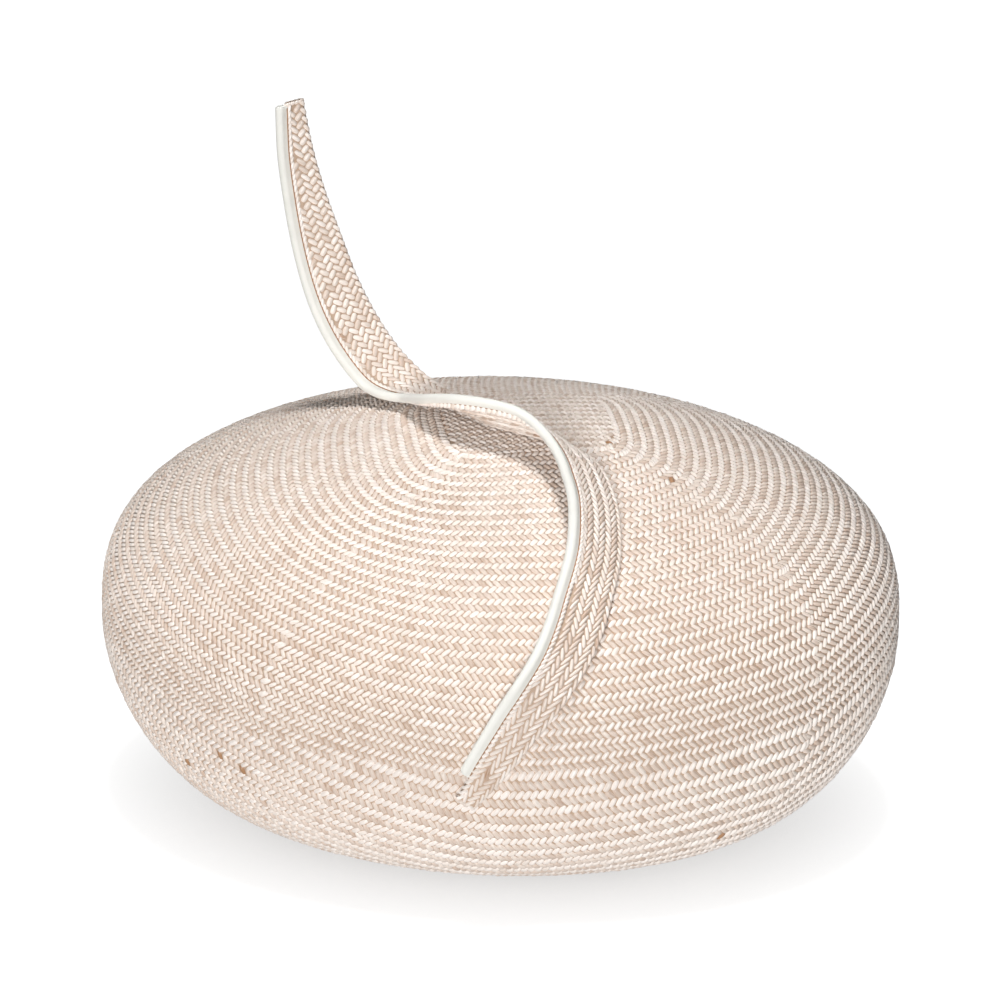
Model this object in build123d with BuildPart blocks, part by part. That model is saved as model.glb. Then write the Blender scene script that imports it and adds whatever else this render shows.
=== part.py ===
# Percher fascinator: an oval dome blocked in woven straw, rolled under to a head opening,
# with a twisted, piped straw quill that sweeps over the crown and stands up at the back.
# Frame: +Z up, origin at the centre of the head opening on the resting plane, front at -Y.
import os
from math import cos, pi, sin, sqrt

from build123d import *

os.makedirs("parts", exist_ok=True)

# ---- crown ----
half_width = 130.0
half_depth = 97.5
crown_height = 120.3        # at the weave centre
widest_height = 62.0
forward_tilt = 7.4          # degrees the dome dips towards the front
lean_back = 5.3             # the weave centre sits this far behind the head opening's centre
dome_fullness = 3.33        # how flat the top is and how sharply it turns down
dome_point = 1.73           # below 2 the weave centre comes to a soft point
under_turn = 1.14           # above 1 the rolled edge is tighter than an ellipse
wall = 1.8
opening_half_width = 82.5
opening_half_depth = 62.0
collar_wall = 1.0           # the straw edge turned up inside the head opening
collar_height = 7.0

# ---- edge wire ----
wire_radius = 0.7
joiner_wall = 0.5
joiner_length = 18.0
wire_rise = 0.8             # the rolled edge already climbs this much under the wire
fit = 0.1                   # clearance between pieces sewn or pushed together

# ---- petersham ribbon ----
ribbon_height = 22.0
ribbon_thickness = 0.7
ribbon_rise = 1.0
lap_length = 24.0

# ---- comb ----
tooth_count = 14
tooth_pitch = 3.6
tooth_length = 36.0
tooth_radius = 0.5
spine_radius = 0.7
binding_width = 0.9
binding_wall = 0.4
comb_height = 8.5           # height of the comb's swing axis
comb_lean = 7.0             # degrees the teeth lean out against the ribbon
loop_width = 0.9
loop_wall = 0.7
loop_slack = 0.3            # room for the spine to turn inside its thread loops
loop_gaps = [2, 6, 8, 12]   # gaps between hairpins that carry a thread loop

# ---- loops for a hat elastic ----
elastic_loop_height = 12.0
elastic_loop_depth = 3.2
elastic_loop_width = 6.0
elastic_loop_wall = 0.6

# ---- quill ----
straw = 0.6                 # thickness of the folded straw strip
quill_wire_radius = 0.45
quill_end_wall = 1.2
cord_radius = 1.2
cover_wall = 0.4
flange_width = 4.0
flange_thickness = 0.5
piping_margin = 0.7         # flange left showing between the piping and the edge of the straw
quill_gap = 0.5             # the stitches hold the fold this far above the straw of the crown

# Free end of the quill, from its tip down: the fold edge as (x, y, z) from the place where
# it meets the crown, and the piped edge as (x, y, z) from the fold edge.
free_stations = [
    ((-49.2, 10.6, 93.4), (-5.9, -4.3, -0.9)),
    ((-46.1, 10.0, 77.6), (-8.5, -4.5, -0.2)),
    ((-42.0, 9.6, 63.2), (-10.7, -5.0, -0.9)),
    ((-37.4, 9.4, 50.0), (-12.7, -5.7, -2.4)),
    ((-33.0, 9.1, 37.8), (-13.2, -7.4, -4.3)),
    ((-28.4, 8.7, 27.8), (-13.1, -9.0, -5.5)),
    ((-22.6, 8.0, 18.0), (-12.6, -10.1, -6.0)),
    ((-15.6, 6.5, 9.4), (-11.3, -10.7, -6.6)),
    ((-7.6, 3.7, 3.2), (-11.2, -12.9, -2.0)),
]
# Stations sewn to the crown: the fold edge as (angle, ring) on the dome, where ring is 0 at
# the top, 1 at the widest line and 2 at the head opening, and the piped edge as before.
crown_stations = [
    ((117.9, 0.258), (-11.2, -13.1, 2.0)),
    ((119.6, 0.159), (-10.7, -12.2, 6.2)),
    ((113.3, 0.057), (-8.0, -10.5, 11.3)),
    ((3.5, 0.074), (-7.8, -10.0, 12.0)),
    ((-24.7, 0.170), (-11.1, -10.0, 9.2)),
    ((-41.6, 0.265), (-12.5, -8.6, 8.6)),
    ((-50.6, 0.353), (-12.5, -8.4, 8.8)),
    ((-58.2, 0.465), (-12.8, -8.9, 7.4)),
    ((-63.6, 0.571), (-14.0, -8.5, 4.5)),
    ((-67.2, 0.671), (-14.0, -7.6, 5.7)),
    ((-70.6, 0.765), (-13.3, -6.7, 5.9)),
    ((-74.4, 0.865), (-12.1, -4.4, 7.1)),
    ((-78.1, 0.945), (-9.9, -1.8, 8.1)),
    ((-82.6, 1.005), (-6.9, -1.1, 8.8)),
    ((-86.0, 1.146), (-6.0, -2.3, 4.9)),
]


# ---- shape of the dome ----
def dome_level(ring, inset=0.0):
    """Half width, half depth and plane of the dome's tilted ellipse at one ring."""
    turn = pi / 2 * ring
    if ring <= 1:
        reach = sin(turn)
        climb = (1 - reach**dome_point) ** (1 / dome_fullness)
        across = (half_width - inset) * reach
        deep = (half_depth - inset) * reach
        centre = (0, lean_back * climb, widest_height + (crown_height - inset - widest_height) * climb)
        tilt = forward_tilt
    else:
        reach = max(sin(turn), 0.0) ** under_turn
        drop = abs(cos(turn)) ** under_turn
        across = opening_half_width + (half_width - inset - opening_half_width) * reach
        deep = opening_half_depth + (half_depth - inset - opening_half_depth) * reach
        centre = (0, 0, widest_height - (widest_height - inset) * drop)
        tilt = forward_tilt * (1 - drop)
    up = (0, -sin(tilt * pi / 180), cos(tilt * pi / 180))
    return across, deep, Plane(origin=centre, x_dir=(1, 0, 0), z_dir=up)


def dome_point_at(angle, ring):
    across, deep, plane = dome_level(ring)
    turn = angle * pi / 180
    return plane.from_local_coords(Vector(across * cos(turn), deep * sin(turn), 0))


def dome_normal_at(angle, ring):
    step = 0.01
    around = dome_point_at(angle + 1, ring) - dome_point_at(angle - 1, ring)
    down = dome_point_at(angle, ring + step) - dome_point_at(angle, ring - step)
    return down.cross(around).normalized()


rings = [0.07, 0.16, 0.28, 0.42, 0.56, 0.68, 0.78, 0.86, 0.93, 1.0,
         1.12, 1.28, 1.44, 1.6, 1.75, 1.88, 2.0]


# ---- crown shell: straw dome, rolled under, its edge turned up round the opening ----
with BuildPart() as hollow:
    for ring in rings:
        across, deep, level = dome_level(ring, wall)
        with BuildSketch(level):
            Ellipse(across, deep)
    loft()

with BuildPart() as crown_shell:
    for ring in rings:
        across, deep, level = dome_level(ring)
        with BuildSketch(level):
            Ellipse(across, deep)
    loft()
    add(hollow.part, mode=Mode.SUBTRACT)
    with BuildSketch(Plane.XY):
        Ellipse(opening_half_width, opening_half_depth)
    extrude(amount=wall + fit, mode=Mode.SUBTRACT)
    with BuildSketch(Plane.XY):
        Ellipse(opening_half_width + collar_wall, opening_half_depth + collar_wall)
        Ellipse(opening_half_width, opening_half_depth, mode=Mode.SUBTRACT)
    extrude(amount=collar_height)
crown_shell.part.label = "crown_shell"
export_step(crown_shell.part, "parts/crown_shell.step")


# ---- edge wire, lying inside the turned-up edge, and the sleeve that joins its ends ----
joiner_radius = wire_radius + fit + joiner_wall
wire_half_width = opening_half_width + collar_wall + fit + joiner_radius
wire_half_depth = opening_half_depth + collar_wall + fit + joiner_radius
wire_level = wall + wire_rise + joiner_radius
joiner_turn = joiner_length / 2 / wire_half_width * 180 / pi
back_of_wire = Plane(origin=(0, wire_half_depth, wire_level), x_dir=(0, 1, 0), z_dir=(-1, 0, 0))

with BuildPart() as edge_wire:
    with BuildLine(Plane.XY.offset(wire_level)):
        EllipticalCenterArc((0, 0), wire_half_width, wire_half_depth, 90, arc_size=360)
    with BuildSketch(back_of_wire):
        Circle(wire_radius)
    sweep()
edge_wire.part.label = "edge_wire"
export_step(edge_wire.part, "parts/edge_wire.step")

with BuildPart() as wire_joiner:
    with BuildLine(Plane.XY.offset(wire_level)):
        sleeve_path = EllipticalCenterArc(
            (0, 0), wire_half_width, wire_half_depth, 90 - joiner_turn, arc_size=2 * joiner_turn
        )
    with BuildSketch(Plane(origin=sleeve_path @ 0, z_dir=sleeve_path % 0)):
        Circle(joiner_radius)
        Circle(wire_radius + fit, mode=Mode.SUBTRACT)
    sweep()
wire_joiner.part.label = "wire_joiner"
export_step(wire_joiner.part, "parts/wire_joiner.step")


# ---- petersham ribbon, standing inside the opening with its ends lapped at the back ----
ribbon_half_width = opening_half_width - fit
ribbon_half_depth = opening_half_depth - fit
inner_half_width = ribbon_half_width - ribbon_thickness
inner_half_depth = ribbon_half_depth - ribbon_thickness

with BuildPart() as petersham_ribbon:
    with BuildSketch(Plane.XY.offset(ribbon_rise)):
        Ellipse(ribbon_half_width, ribbon_half_depth)
        Ellipse(inner_half_width, inner_half_depth, mode=Mode.SUBTRACT)
    extrude(amount=ribbon_height)
    with BuildSketch(Plane.XY.offset(ribbon_rise)):
        with BuildSketch(mode=Mode.PRIVATE) as lap:
            Ellipse(inner_half_width + ribbon_thickness / 2, inner_half_depth + ribbon_thickness / 2)
            Ellipse(
                inner_half_width - ribbon_thickness,
                inner_half_depth - ribbon_thickness,
                mode=Mode.SUBTRACT,
            )
            with Locations((0, inner_half_depth)):
                Rectangle(lap_length, 20 * ribbon_thickness, mode=Mode.INTERSECT)
        add(lap.sketch)
    extrude(amount=ribbon_height)
petersham_ribbon.part.label = "petersham_ribbon"
export_step(petersham_ribbon.part, "parts/petersham_ribbon.step")


# ---- wire comb, sewn by its spine to the front of the ribbon ----
comb_width = (tooth_count - 1) * tooth_pitch
spine_overhang = tooth_pitch
spine_offset = tooth_radius + spine_radius      # each spine wire lies on one side of the teeth
loop_bore = spine_offset + spine_radius + loop_slack
loop_radius = loop_bore + loop_wall


def ribbon_face(x):
    """Y of the ribbon's inner face at the front, at one X."""
    return -inner_half_depth * sqrt(1 - (x / inner_half_width) ** 2)


comb_y = ribbon_face(comb_width / 2 + spine_overhang) + loop_radius + fit
comb_axis = (0, comb_y, comb_height)
tooth_way = Vector(0, -sin(comb_lean * pi / 180), cos(comb_lean * pi / 180))
comb_face = Plane(origin=comb_axis, x_dir=(1, 0, 0), z_dir=Vector(1, 0, 0).cross(tooth_way))
tooth_places = [(index - (tooth_count - 1) / 2) * tooth_pitch for index in range(tooth_count)]
bend_radius = tooth_pitch / 2
spine_drop = spine_radius + fit

with BuildPart() as comb_hairpins:
    for index in range(0, tooth_count, 2):
        left = tooth_places[index]
        right = tooth_places[index + 1]
        with BuildLine(comb_face):
            Line((left, tooth_length), (left, -spine_drop))
            ThreePointArc(
                (left, -spine_drop),
                (left + bend_radius, -spine_drop - bend_radius),
                (right, -spine_drop),
            )
            Line((right, -spine_drop), (right, tooth_length))
        tooth_end = comb_face.from_local_coords((left, tooth_length, 0))
        with BuildSketch(Plane(origin=tooth_end, z_dir=-tooth_way)):
            Circle(tooth_radius)
        sweep()
comb_hairpins.part.label = "comb_hairpins"
export_step(comb_hairpins.part, "parts/comb_hairpins.step")

spine_start = Plane(
    origin=comb_face.from_local_coords((-comb_width / 2 - spine_overhang, 0, 0)),
    x_dir=tooth_way,
    z_dir=(1, 0, 0),
)
with BuildPart() as comb_spine:
    with BuildSketch(spine_start):
        with Locations((0, spine_offset), (0, -spine_offset)):
            Circle(spine_radius)
    extrude(amount=comb_width + 2 * spine_overhang)
comb_spine.part.label = "comb_spine"
export_step(comb_spine.part, "parts/comb_spine.step")

binding_gaps = [gap for gap in range(1, tooth_count) if gap not in loop_gaps]
binding_places = [tooth_places[gap] - tooth_pitch / 2 for gap in binding_gaps]
binding_long = 2 * spine_offset
binding_bore = 2 * (spine_radius + fit / 2)
with BuildPart() as comb_binding:
    for place in binding_places:
        turn_start = Plane(
            origin=comb_face.from_local_coords((place - binding_width / 2, 0, 0)),
            x_dir=Vector(1, 0, 0).cross(tooth_way),
            z_dir=(1, 0, 0),
        )
        with BuildSketch(turn_start):
            SlotCenterToCenter(binding_long, binding_bore + 2 * binding_wall)
            SlotCenterToCenter(binding_long, binding_bore, mode=Mode.SUBTRACT)
        extrude(amount=binding_width)
comb_binding.part.label = "comb_binding"
export_step(comb_binding.part, "parts/comb_binding.step")

with BuildPart() as comb_thread_loops:
    for gap in loop_gaps:
        place = tooth_places[gap] - tooth_pitch / 2
        reach = comb_y - ribbon_face(place) - fit
        with BuildSketch(Plane.YZ.offset(place - loop_width / 2)):
            with Locations((comb_y, comb_height)):
                Circle(loop_radius)
            with Locations((comb_y - reach / 2, comb_height)):
                Rectangle(reach, 2 * loop_wall)
            with Locations((comb_y, comb_height)):
                Circle(loop_bore, mode=Mode.SUBTRACT)
        extrude(amount=loop_width)
comb_thread_loops.part.label = "comb_thread_loops"
export_step(comb_thread_loops.part, "parts/comb_thread_loops.step")


# ---- loops for a hat elastic, one at each side of the ribbon ----
loop_middle = ribbon_rise + ribbon_height / 2
for side, sign in (("left", -1), ("right", 1)):
    with BuildPart() as elastic_loop:
        with BuildSketch(Plane.XZ.offset(-elastic_loop_width / 2)):
            with Locations((sign * (inner_half_width - fit - elastic_loop_depth / 2), loop_middle)):
                Rectangle(elastic_loop_depth, elastic_loop_height)
                Rectangle(
                    elastic_loop_depth - 2 * elastic_loop_wall,
                    elastic_loop_height - 2 * elastic_loop_wall,
                    mode=Mode.SUBTRACT,
                )
        extrude(amount=elastic_loop_width)
        fillet(elastic_loop.edges().filter_by(Axis.Y), elastic_loop_wall / 3)
    elastic_loop.part.label = "elastic_loop_" + side
    export_step(elastic_loop.part, "parts/elastic_loop_" + side + ".step")


# ---- quill: one straw strip folded along its back edge, with piping in its open edge ----
quill_half = straw + quill_wire_radius + fit / 2
cover_radius = cord_radius + cover_wall
fold_points = []
piping_points = []
foot_angle, foot_ring = crown_stations[0][0]
seat = quill_half + quill_gap
foot = dome_point_at(foot_angle, foot_ring) + dome_normal_at(foot_angle, foot_ring) * seat
for rise, offset in free_stations:
    fold_points.append(foot + Vector(*rise))
    piping_points.append(fold_points[-1] + Vector(*offset))
for (angle, ring), offset in crown_stations:
    fold_points.append(dome_point_at(angle, ring) + dome_normal_at(angle, ring) * seat)
    piping_points.append(fold_points[-1] + Vector(*offset))


def with_midpoints(points):
    """The same smooth curve with one more point in the middle of each gap."""
    ends = [points[0] * 2 - points[1]] + points + [points[-1] * 2 - points[-2]]
    finer = [points[0]]
    for before, start, end, after in zip(ends, ends[1:], ends[2:], ends[3:]):
        finer.append((start + end) * (9 / 16) - (before + after) * (1 / 16))
        finer.append(end)
    return finer


fold_points = with_midpoints(fold_points)
piping_points = with_midpoints(piping_points)
stations = len(fold_points)
quill_sections = []
for index in range(stations):
    fold, piping = fold_points[index], piping_points[index]
    after = min(index + 1, stations - 1)
    before = max(index - 1, 0)
    along = (fold_points[after] + piping_points[after]) - (fold_points[before] + piping_points[before])
    across = (piping - fold).normalized()
    along = (along - across * along.dot(across)).normalized()
    quill_sections.append((Plane(origin=fold, x_dir=across, z_dir=along), (piping - fold).length))
quill_spans = list(zip(quill_sections, quill_sections[1:]))
piped_spans = quill_spans[:-1]
quill_tip, tip_width = quill_sections[0]
quill_foot, foot_width = quill_sections[-1]
inner_half = quill_half - straw

# In each quill section X runs from the fold to the piping and Z along the quill.
with BuildPart() as quill_straw:
    for span in quill_spans:
        for plane, width in span:
            edge = width - cover_radius - piping_margin
            with BuildSketch(plane):
                with BuildLine():
                    Polyline((0, quill_half), (edge, quill_half), (edge, inner_half), (0, inner_half))
                    ThreePointArc((0, inner_half), (-inner_half, 0), (0, -inner_half))
                    Polyline((0, -inner_half), (edge, -inner_half), (edge, -quill_half), (0, -quill_half))
                    ThreePointArc((0, -quill_half), (-quill_half, 0), (0, quill_half))
                make_face()
        loft(ruled=True)
    for plane, width, way in ((quill_tip, tip_width, -1), (quill_foot, foot_width, 1)):
        edge = width - cover_radius - piping_margin
        with BuildSketch(plane):
            with BuildLine():
                Polyline((0, quill_half), (edge, quill_half), (edge, -quill_half), (0, -quill_half))
                ThreePointArc((0, -quill_half), (-quill_half, 0), (0, quill_half))
            make_face()
        extrude(amount=way * quill_end_wall)
quill_straw.part.label = "quill_straw"
export_step(quill_straw.part, "parts/quill_straw.step")

with BuildPart() as quill_wire:
    for span in quill_spans:
        for plane, width in span:
            with BuildSketch(plane):
                Circle(quill_wire_radius)
        loft(ruled=True)
quill_wire.part.label = "quill_wire"
export_step(quill_wire.part, "parts/quill_wire.step")

with BuildPart() as piping_cord:
    for span in piped_spans:
        for plane, width in span:
            with BuildSketch(plane):
                with Locations((width, 0)):
                    Circle(cord_radius)
        loft(ruled=True)
piping_cord.part.label = "piping_cord"
export_step(piping_cord.part, "parts/piping_cord.step")

with BuildPart() as piping_cover:
    for span in piped_spans:
        for plane, width in span:
            with BuildSketch(plane):
                with Locations((width, 0)):
                    Circle(cover_radius)
                with Locations((width - cord_radius - flange_width / 2, 0)):
                    Rectangle(flange_width, flange_thickness)
                with Locations((width, 0)):
                    Circle(cord_radius + fit / 2, mode=Mode.SUBTRACT)
        loft(ruled=True)
piping_cover.part.label = "piping_cover"
export_step(piping_cover.part, "parts/piping_cover.step")
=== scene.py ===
import math

import bpy
import numpy as np
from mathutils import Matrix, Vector


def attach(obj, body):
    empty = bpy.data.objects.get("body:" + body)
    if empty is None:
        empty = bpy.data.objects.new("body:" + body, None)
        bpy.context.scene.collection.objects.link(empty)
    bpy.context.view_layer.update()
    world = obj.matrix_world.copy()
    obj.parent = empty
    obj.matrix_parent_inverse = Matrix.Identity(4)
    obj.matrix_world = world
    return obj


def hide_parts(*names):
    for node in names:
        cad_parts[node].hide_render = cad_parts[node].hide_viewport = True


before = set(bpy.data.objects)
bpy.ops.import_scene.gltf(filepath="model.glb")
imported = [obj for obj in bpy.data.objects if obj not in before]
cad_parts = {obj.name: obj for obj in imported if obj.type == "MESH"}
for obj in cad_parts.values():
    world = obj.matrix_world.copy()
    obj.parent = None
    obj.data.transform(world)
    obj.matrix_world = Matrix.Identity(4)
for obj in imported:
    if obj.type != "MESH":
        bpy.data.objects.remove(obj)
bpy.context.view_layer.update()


def deselectAll():
    bpy.ops.object.select_all(action="DESELECT")


def toLinear(code):
    # "#RRGGBB" as the screen shows it, to the linear colour the shaders want
    parts = [int(code[i:i + 2], 16) / 255 for i in (1, 3, 5)]
    return [c / 12.92 if c <= 0.04045 else ((c + 0.055) / 1.055) ** 2.4 for c in parts] + [1.0]


def addNode(tree, kind, settings=None, inputs=None):
    # one node, its settings, and its sockets given as values or as other nodes' outputs
    node = tree.nodes.new(kind)
    for key, value in (settings or {}).items():
        setattr(node, key, value)
    for key, value in (inputs or {}).items():
        if isinstance(value, bpy.types.NodeSocket):
            tree.links.new(value, node.inputs[key])
        else:
            node.inputs[key].default_value = value
    return node


def newMaterial(name):
    material = bpy.data.materials.new(name)
    material.use_nodes = True
    material.node_tree.nodes.clear()
    return material, material.node_tree


def meshPiece(name, points, faces, body, uv=None, tone=None):
    # points in mm; faces as an array of quads, or a list of any faces
    mesh = bpy.data.meshes.new(name)
    points = np.asarray(points, float) * 0.001
    if isinstance(faces, np.ndarray):
        mesh.vertices.add(len(points))
        mesh.vertices.foreach_set("co", points.ravel())
        mesh.loops.add(faces.size)
        mesh.loops.foreach_set("vertex_index", faces.ravel().astype(np.int32))
        mesh.polygons.add(len(faces))
        mesh.polygons.foreach_set("loop_start", np.arange(0, faces.size, faces.shape[1], dtype=np.int32))
        mesh.update(calc_edges=True)
        corners = faces.ravel()
    else:
        mesh.from_pydata(points.tolist(), [], faces)
        corners = np.array([v for face in faces for v in face])
    if uv is not None:
        layer = mesh.uv_layers.new(name="weaveUV")
        layer.data.foreach_set("uv", np.asarray(uv, float)[corners].ravel())
    if tone is not None:
        layer = mesh.attributes.new("strawToneAndShading", "FLOAT", "POINT")
        layer.data.foreach_set("value", np.asarray(tone, float))
    mesh.polygons.foreach_set("use_smooth", np.full(len(mesh.polygons), True))
    mesh.validate()
    piece = bpy.data.objects.new(name, mesh)
    bpy.context.scene.collection.objects.link(piece)
    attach(piece, body)
    return piece


def unit(vectors):
    return vectors / np.linalg.norm(vectors, axis=-1, keepdims=True)


def gridFaces(rows, columns):
    # quads of a grid of points stored row by row, every row a closed ring
    r, c = np.meshgrid(np.arange(rows - 1), np.arange(columns), indexing="ij")
    n = (c + 1) % columns
    return np.stack([r * columns + c, r * columns + n, (r + 1) * columns + n, (r + 1) * columns + c],
                    axis=-1).reshape(-1, 4)


def closedFaces(rows, columns):
    # the same quads, and a face over each end
    last = (rows - 1) * columns
    quads = [tuple(face) for face in gridFaces(rows, columns)]
    return quads + [tuple(range(columns))[::-1], tuple(range(last, last + columns))]


# the blocked dome
crown = {
    "halfWidth": 130.0, "halfDepth": 97.5, "height": 120.3, "widest": 62.0,
    "tilt": 7.4, "leanBack": 5.3, "fullness": 3.33, "point": 1.73, "underTurn": 1.14,
    "wall": 1.8, "openingWidth": 82.5, "openingDepth": 62.0,
    "collarHeight": 7.0,
    "strandDepth": 0.6,       # the woven strands stand on the shell by this much
}


def domePoint(angle, ring, inset=0.0):
    # a point of the dome: ring 0 at the weave centre, 1 at the widest line, 2 at the opening
    k = crown
    angle, ring = np.broadcast_arrays(np.asarray(angle, float), np.asarray(ring, float))
    turn = math.pi / 2 * ring
    upper = ring <= 1
    reachUp = np.sin(np.where(upper, turn, 0))
    climb = np.maximum(1 - reachUp ** k["point"], 0) ** (1 / k["fullness"])
    reachDown = np.maximum(np.sin(turn), 0) ** k["underTurn"]
    drop = np.where(upper, 0, np.abs(np.cos(turn))) ** k["underTurn"]
    wide, deep = k["halfWidth"] - inset, k["halfDepth"] - inset
    across = np.where(upper, wide * reachUp, k["openingWidth"] + (wide - k["openingWidth"]) * reachDown)
    along = np.where(upper, deep * reachUp, k["openingDepth"] + (deep - k["openingDepth"]) * reachDown)
    level = np.where(upper, k["widest"] + (k["height"] - inset - k["widest"]) * climb,
                     k["widest"] - (k["widest"] - inset) * drop)
    back = np.where(upper, k["leanBack"] * climb, 0)
    tilt = np.radians(np.where(upper, k["tilt"], k["tilt"] * (1 - drop)))
    v = along * np.sin(angle)
    return np.stack([across * np.cos(angle), back + v * np.cos(tilt), level + v * np.sin(tilt)], axis=-1)


def buildShell():
    # one closed skin: outside, turned-up edge round the opening, inside
    columns = 288
    angles = np.linspace(0, 2 * math.pi, columns, endpoint=False)
    down = np.concatenate([np.linspace(0.02, 0.86, 46), np.linspace(0.88, 1.16, 30),
                           np.linspace(1.19, 2, 34)])
    rows = [domePoint(angles, ring, crown["strandDepth"]) for ring in down]
    for grow, level in ((0, 1.4), (0, crown["collarHeight"] - 0.4), (0.25, crown["collarHeight"]),
                        (0.75, crown["collarHeight"]), (1.0, crown["collarHeight"] - 0.4), (1.0, 2.6)):
        rows.append(np.stack([(crown["openingWidth"] + grow) * np.cos(angles),
                              (crown["openingDepth"] + grow) * np.sin(angles),
                              np.full(columns, level)], axis=-1))
    rows += [domePoint(angles, ring, crown["wall"]) for ring in down[::-1][2:]]
    points = np.concatenate(rows)
    count = len(rows)
    top = domePoint(0.0, 0.0, crown["strandDepth"])
    under = domePoint(0.0, 0.0, crown["wall"])
    faces = [tuple(face) for face in gridFaces(count, columns)[:, ::-1]]
    topIndex, underIndex = len(points), len(points) + 1
    for c in range(columns):
        n = (c + 1) % columns
        faces.append((topIndex, c, n))
        faces.append((underIndex, (count - 1) * columns + n, (count - 1) * columns + c))
    shell = meshPiece("crownShell", np.vstack([points, top, under]), faces, "hat")
    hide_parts("crown_shell")
    return shell


# rounds of herringbone over the dome
weave = {
    # the rounds grow from a square patch behind the top, and settle round the dome as they go out
    "patch": 6, "rounds": 62, "startCentre": (5.9, 16.7), "outerCentre": (13.7, -40.0), "settles": 40.0,
    "startTurn": math.radians(17.4), "outerTurn": math.radians(-4.5),
    "startWide": 4.70, "outerWide": 4.12, "startDeep": 3.90, "outerDeep": 3.80, "grows": 6.4,   # mm a round
    "square": 5.3, "round": 1.81, "squareUntil": 4, "squareFades": 7.3,
    "mitreSwing": math.radians(11), "mitreRounds": 4,
    "crease": 0.045, "creaseWide": math.radians(20),   # the front right corner of the rounds stays sharp
    "stitch": 2.25,                # from strand to strand along a row; a round is two rows
    "lap": 1.2, "roundStep": 4.2,  # the rows run this far past a mitre, on rounds about this far apart
    "rowPitch": 2.1,               # strands are full size where the rows are this far apart
    "underStretch": 0.68,          # the straw is stretched where it rolls under
    # painted sheen: how much lighter one family of rows is painted than the other, for the light their
    # strands catch
    "length": 3.7, "width": 1.55, "crest": 0.72, "paintedRowSheen": 0.19,
    "toneSpread": 0.09, "flecks": 0.0008,
}
chartStep = 0.5
chartColumns = 720
domeMiddle = np.array([0, 0, 55.0])     # a place inside the dome


def buildChart():
    # lays the dome out flat round its top: direction and distance along the straw -> place on the dome
    phi = np.linspace(0, 2 * math.pi, chartColumns, endpoint=False)
    angle = np.arctan2(crown["halfWidth"] * np.sin(phi), crown["halfDepth"] * np.cos(phi))
    rings = np.linspace(0, 2, 1601)
    places = domePoint(angle[:, None], rings[None, :], crown["strandDepth"])
    steps = np.linalg.norm(np.diff(places, axis=1), axis=2)
    walked = np.concatenate([np.zeros((chartColumns, 1)), np.cumsum(steps, axis=1)], axis=1)
    widest = walked[:, 800][:, None]
    walked = np.where(walked > widest, widest + (walked - widest) * weave["underStretch"], walked)
    reach = walked[:, -1]
    distance = np.arange(0, reach.max() + 2, chartStep)
    chart = np.empty((chartColumns, len(distance), 3))
    for column in range(chartColumns):
        for axis in range(3):
            chart[column, :, axis] = np.interp(distance, walked[column], places[column, :, axis])
    return chart, reach


chart, chartReach = buildChart()


def onDome(flat):
    # flat chart places (mm) to places on the dome
    phi = np.arctan2(flat[:, 1], flat[:, 0]) % (2 * math.pi)
    column = phi / (2 * math.pi) * chartColumns
    row = np.hypot(flat[:, 0], flat[:, 1]) / chartStep
    row = np.minimum(row, chart.shape[1] - 1.001)
    c0 = np.floor(column).astype(int) % chartColumns
    c1 = (c0 + 1) % chartColumns
    r0 = np.floor(row).astype(int)
    fc, fr = (column % 1)[:, None], (row - r0)[:, None]
    near = chart[c0, r0] * (1 - fr) + chart[c0, r0 + 1] * fr
    far = chart[c1, r0] * (1 - fr) + chart[c1, r0 + 1] * fr
    return near * (1 - fc) + far * fc


def frontRightMitre(level):
    # the direction of this mitre, which lies a little to the right of its corner
    swing = weave["mitreSwing"] * min((level - weave["patch"]) / weave["mitreRounds"], 1)
    return swing - math.pi / 4


def roundPlace(level, direction):
    # the flat place where round number level crosses each direction from the weave's centre
    w = weave
    settled = math.exp(-max(level - w["patch"], 0) / w["settles"])
    squareness = math.exp(-max(level - w["squareUntil"], 0) / w["squareFades"])
    power = w["round"] + (w["square"] - w["round"]) * squareness
    early = w["grows"] * (1 - math.exp(-level / w["grows"]))
    wide = w["outerWide"] * level + (w["startWide"] - w["outerWide"]) * early
    deep = w["outerDeep"] * level + (w["startDeep"] - w["outerDeep"]) * early
    cosines, sines = np.cos(direction), np.sin(direction)
    reach = (np.abs(cosines) ** power + np.abs(sines) ** power) ** (-1 / power)
    # the rounds turn sharply at the front right mitre, more so as they go out
    fromMitre = np.abs((direction - frontRightMitre(level) + math.pi) % (2 * math.pi) - math.pi)
    grown = 1 - math.exp(-max(level - w["patch"], 0) / w["patch"])
    reach = reach * (1 + w["crease"] * grown * np.exp(-fromMitre / w["creaseWide"]))
    return turnedFlat(wide * reach * cosines, deep * reach * sines, settled)


def turnedFlat(x, y, settled):
    # from the rounds' own axes to the flat chart
    w = weave
    turn = w["outerTurn"] + (w["startTurn"] - w["outerTurn"]) * settled
    c, s = math.cos(turn), math.sin(turn)
    middle = [outer + (start - outer) * settled
              for start, outer in zip(w["startCentre"], w["outerCentre"])]
    return np.stack([middle[0] + c * x - s * y, middle[1] + s * x + c * y], axis=-1)


def strandShape(along, across):
    # one strand float, from a grid: rounded across, both ends dipping under the next row
    deselectAll()
    bpy.ops.mesh.primitive_grid_add(x_subdivisions=along, y_subdivisions=across, size=2)
    piece = bpy.context.object
    points = np.array([v.co[:] for v in piece.data.vertices])
    faces = np.array([p.vertices[:] for p in piece.data.polygons])
    bpy.data.objects.remove(piece, do_unlink=True)
    u, v = points[:, 0], points[:, 1]
    rise = np.interp(np.abs(u), [0, 0.34, 0.67, 1], [1, 0.94, 0.6, -0.7])
    rise = rise - 1.35 * np.abs(v) ** 2.8
    width = v * np.interp(np.abs(u), [0, 0.4, 0.67, 1], [1, 1, 0.97, 0.7])
    return np.stack([u, width, rise], axis=-1), faces


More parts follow.
